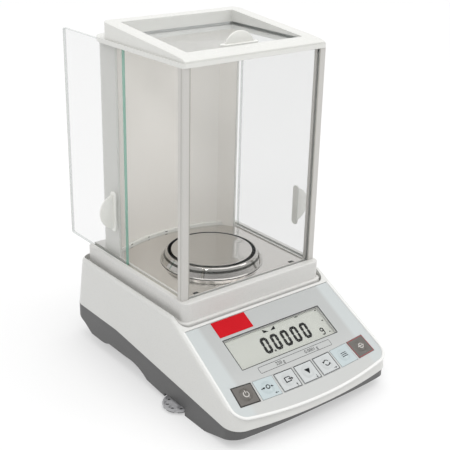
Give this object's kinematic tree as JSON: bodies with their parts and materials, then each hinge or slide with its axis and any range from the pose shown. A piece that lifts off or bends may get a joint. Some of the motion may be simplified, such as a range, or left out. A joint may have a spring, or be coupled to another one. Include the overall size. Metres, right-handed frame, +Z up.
{
  "type": "analytical balance",
  "caption": "Laboratory analytical balance with a glass draft shield, three sliding doors, a round pan, a sloped keypad with a display and levelling feet.",
  "frame": {"origin": "on the table, below the middle of the balance's overall box with its left door slid open", "axes": "+X to the right as the user faces the keypad, +Y from the keypad to the back, +Z up"},
  "size_m": [0.237, 0.3441, 0.3709],
  "materials": {
    "base_plastic": "moulded, fine grain, dark grey",
    "casing_plastic": "moulded, fine grain, light grey",
    "shield_plastic": "moulded, off-white",
    "curved_wall_paint": "powder coated, warm light grey",
    "clear_glass": "float glass, polished edges",
    "satin_stainless": "satin stainless steel",
    "polished_stainless": "polished stainless steel",
    "overlay_film": "printed polyester film, silver grey",
    "red_label": "plain red label",
    "dark_key": "embossed film key, dark",
    "light_key": "embossed film key, light",
    "clear_window": "acrylic display window",
    "display_glass": "reflective liquid crystal display",
    "circuit_board": "green solder mask",
    "black_plastic": "moulded black",
    "glide_nylon": "nylon glide",
    "cell_aluminium": "milled",
    "spring_steel": "rolled spring steel",
    "coil_winding": "enamelled wire winding",
    "magnet_iron": "nickel plated iron",
    "foot_metal": "grey levelling wheel",
    "foot_rubber": "black rubber",
    "insert_brass": "turned brass",
    "port_steel": "plated steel shell",
    "level_fluid": "acrylic vial with tinted fluid",
    "screw_steel": "zinc plated"
  },
  "bodies": {
    "housing": {"base_pan": "base_plastic", "top_casing": "casing_plastic", "panel_overlay": "overlay_film", "colour_label": "red_label", "display_window": "clear_window", "display_module": "display_glass", "front_board": "circuit_board", "main_board": "circuit_board", "key_switches": "black_plastic", "shield_base": "shield_plastic", "left_post": "shield_plastic", "right_post": "shield_plastic", "top_frame": "shield_plastic", "top_bezel": "shield_plastic", "column_cover": "shield_plastic", "glide_strips": "glide_nylon", "front_glass": "clear_glass", "curved_wall": "curved_wall_paint", "dust_collar": "black_plastic", "cell_frame": "cell_aluminium", "guide_flexures": "spring_steel", "pivot_flexures": "spring_steel", "magnet_pot": "magnet_iron", "position_sensor": "black_plastic", "board_components": "black_plastic", "board_pillars": "insert_brass", "power_inlet": "black_plastic", "data_port": "port_steel", "foot_inserts": "insert_brass", "rear_feet": "foot_rubber", "level_cup": "black_plastic", "level_vial": "level_fluid", "casing_screws": "screw_steel"},
    "left_door": {"left_door_glass": "clear_glass", "left_door_handle": "shield_plastic"},
    "right_door": {"right_door_glass": "clear_glass", "right_door_handle": "shield_plastic"},
    "top_door": {"top_door_glass": "clear_glass", "top_door_handle": "shield_plastic"},
    "carrier": {"pan_carrier": "cell_aluminium"},
    "beam": {"balance_beam": "cell_aluminium", "force_coil": "coil_winding"},
    "pan": {"weighing_pan": "satin_stainless"},
    "floor": {"floor_plate": "satin_stainless"},
    "ring": {"draft_ring": "polished_stainless"},
    "left_foot": {"left_foot_pad": "foot_rubber"},
    "left_wheel": {"left_foot_wheel": "foot_metal"},
    "right_foot": {"right_foot_pad": "foot_rubber"},
    "right_wheel": {"right_foot_wheel": "foot_metal"},
    "power_key": {"power_key": "dark_key"},
    "zero_key": {"zero_key": "light_key"},
    "output_key": {"output_key": "light_key"},
    "down_key": {"down_key": "light_key"},
    "cycle_key": {"cycle_key": "light_key"},
    "menu_key": {"menu_key": "light_key"},
    "tare_key": {"tare_key": "dark_key"}
  },
  "joints": [
    {"name": "left_door_slide", "type": "slide", "parent": "housing", "child": "left_door", "axis": [0, 1, 0], "range_m": [-0.099, 0.01]},
    {"name": "right_door_slide", "type": "slide", "parent": "housing", "child": "right_door", "axis": [0, 1, 0], "range_m": [0, 0.109]},
    {"name": "top_door_slide", "type": "slide", "parent": "housing", "child": "top_door", "axis": [0, 1, 0], "range_m": [0, 0.095]},
    {"name": "pan_travel", "type": "slide", "parent": "housing", "child": "carrier", "axis": [0, 0, 1], "range_m": [-0.0003, 0.0003], "stiffness_N_per_m": 15000, "springref_m": 0.00006},
    {"name": "beam_tilt", "type": "hinge", "parent": "housing", "child": "beam", "pos_m": [0, 0.045, 0.069], "axis": [1, 0, 0], "range_deg": [-1, 1]},
    {"name": "pan_lift", "type": "slide", "parent": "carrier", "child": "pan", "axis": [0, 0, 1], "range_m": [0, 0.03]},
    {"name": "floor_plate_lift", "type": "slide", "parent": "housing", "child": "floor", "axis": [0, 0, 1], "range_m": [0, 0.02]},
    {"name": "draft_ring_lift", "type": "slide", "parent": "floor", "child": "ring", "axis": [0, 0, 1], "range_m": [0, 0.02]},
    {"name": "power_key_press", "type": "slide", "parent": "housing", "child": "power_key", "axis": [0, 0.4822, -0.8761], "range_m": [0, 0.0004], "stiffness_N_per_m": 5000},
    {"name": "zero_key_press", "type": "slide", "parent": "housing", "child": "zero_key", "axis": [0, 0.4822, -0.8761], "range_m": [0, 0.0004], "stiffness_N_per_m": 5000},
    {"name": "output_key_press", "type": "slide", "parent": "housing", "child": "output_key", "axis": [0, 0.4822, -0.8761], "range_m": [0, 0.0004], "stiffness_N_per_m": 5000},
    {"name": "down_key_press", "type": "slide", "parent": "housing", "child": "down_key", "axis": [0, 0.4822, -0.8761], "range_m": [0, 0.0004], "stiffness_N_per_m": 5000},
    {"name": "cycle_key_press", "type": "slide", "parent": "housing", "child": "cycle_key", "axis": [0, 0.4822, -0.8761], "range_m": [0, 0.0004], "stiffness_N_per_m": 5000},
    {"name": "menu_key_press", "type": "slide", "parent": "housing", "child": "menu_key", "axis": [0, 0.4822, -0.8761], "range_m": [0, 0.0004], "stiffness_N_per_m": 5000},
    {"name": "tare_key_press", "type": "slide", "parent": "housing", "child": "tare_key", "axis": [0, 0.4822, -0.8761], "range_m": [0, 0.0004], "stiffness_N_per_m": 5000},
    {"name": "left_foot_lift", "type": "slide", "parent": "housing", "child": "left_foot", "axis": [0, 0, 1], "range_m": [-0.003, 0.001]},
    {"name": "left_foot_turn", "type": "hinge", "parent": "left_foot", "child": "left_wheel", "pos_m": [-0.1015, -0.065, 0.004], "axis": [0, 0, 1], "range_deg": [-1080, 360]},
    {"name": "right_foot_lift", "type": "slide", "parent": "housing", "child": "right_foot", "axis": [0, 0, 1], "range_m": [-0.003, 0.001]},
    {"name": "right_foot_turn", "type": "hinge", "parent": "right_foot", "child": "right_wheel", "pos_m": [0.1015, -0.065, 0.004], "axis": [0, 0, 1], "range_deg": [-1080, 360]}
  ],
  "couplings": [
    {"joint": "beam_tilt", "follows": "pan_travel", "rad_per_m": -47.619},
    {"joint": "left_foot_turn", "follows": "left_foot_lift", "rad_per_m": 6283.2},
    {"joint": "right_foot_turn", "follows": "right_foot_lift", "rad_per_m": 6283.2}
  ]
}
